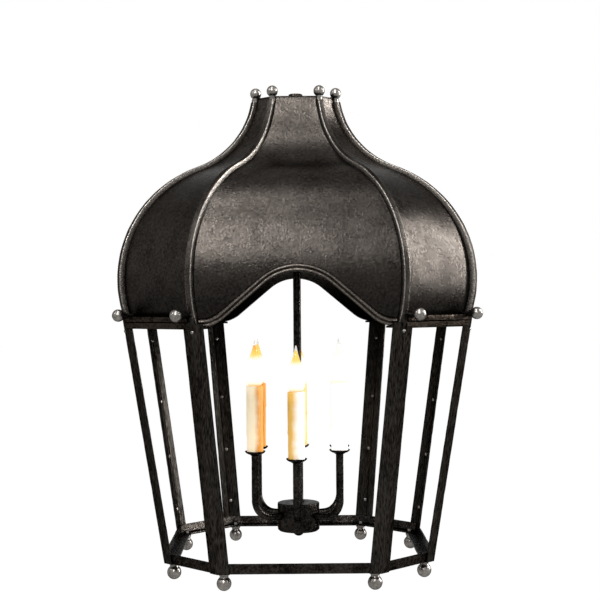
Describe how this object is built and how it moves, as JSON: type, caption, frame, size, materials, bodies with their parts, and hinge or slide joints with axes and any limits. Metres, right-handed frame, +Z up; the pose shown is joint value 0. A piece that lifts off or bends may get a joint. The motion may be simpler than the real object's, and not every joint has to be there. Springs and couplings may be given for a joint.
{
  "type": "dome lantern pendant",
  "caption": "Eight-sided iron hanging lantern with an onion dome, arched sides, an open tapered cage on ball feet and a cluster of flame-bulb candles.",
  "frame": {"origin": "under the middle of the lantern, level with the lowest points of its ball feet", "axes": "+Z up along the centre rod to the hanger nut, the front wide side faces -Y, +X to the right of it"},
  "size_m": [0.5252, 0.5252, 0.728],
  "materials": {
    "sheet_iron": "satin, dark brown-black patina over hammered sheet",
    "bar_iron": "satin, dark brown-black patina with worn edges",
    "burnished_iron": "burnished",
    "thread_brass": "plain",
    "socket_body": "moulded",
    "wire_cover": "matte",
    "candle_wax": "waxy, cream to amber",
    "bulb_glass": "clear to frosted, lit"
  },
  "bodies": {
    "root": {"dome_panel_front": "sheet_iron", "dome_panel_right": "sheet_iron", "dome_panel_back": "sheet_iron", "dome_panel_left": "sheet_iron", "corner_panel_front_right": "sheet_iron", "corner_panel_back_right": "sheet_iron", "corner_panel_back_left": "sheet_iron", "corner_panel_front_left": "sheet_iron", "rib_1": "bar_iron", "rib_2": "bar_iron", "rib_3": "bar_iron", "rib_4": "bar_iron", "rib_5": "bar_iron", "rib_6": "bar_iron", "rib_7": "bar_iron", "rib_8": "bar_iron", "arch_moulding_front": "bar_iron", "arch_moulding_right": "bar_iron", "arch_moulding_back": "bar_iron", "arch_moulding_left": "bar_iron", "waist_bar_front_right": "bar_iron", "waist_bar_back_right": "bar_iron", "waist_bar_back_left": "bar_iron", "waist_bar_front_left": "bar_iron", "post_1": "bar_iron", "post_2": "bar_iron", "post_3": "bar_iron", "post_4": "bar_iron", "post_5": "bar_iron", "post_6": "bar_iron", "post_7": "bar_iron", "post_8": "bar_iron", "bottom_ring": "bar_iron", "post_rivets": "burnished_iron", "retaining_tabs": "bar_iron", "neck_balls": "burnished_iron", "waist_balls": "burnished_iron", "ball_feet": "burnished_iron", "foot_nuts": "burnished_iron", "cap_plate": "sheet_iron", "cap_washer": "bar_iron", "hanger_nut": "bar_iron", "lock_nut": "bar_iron", "centre_rod": "bar_iron", "hub_body": "sheet_iron", "hub_lid": "sheet_iron", "hub_finial": "bar_iron", "arm_nuts": "burnished_iron", "wiring": "wire_cover", "arm_1": "bar_iron", "arm_2": "bar_iron", "arm_3": "bar_iron", "arm_4": "bar_iron", "arm_5": "bar_iron", "arm_6": "bar_iron", "drip_cups": "bar_iron", "socket_nipples": "thread_brass", "lamp_sockets": "socket_body", "candle_sleeves": "candle_wax", "flame_bulbs": "bulb_glass"}
  },
  "joints": []
}
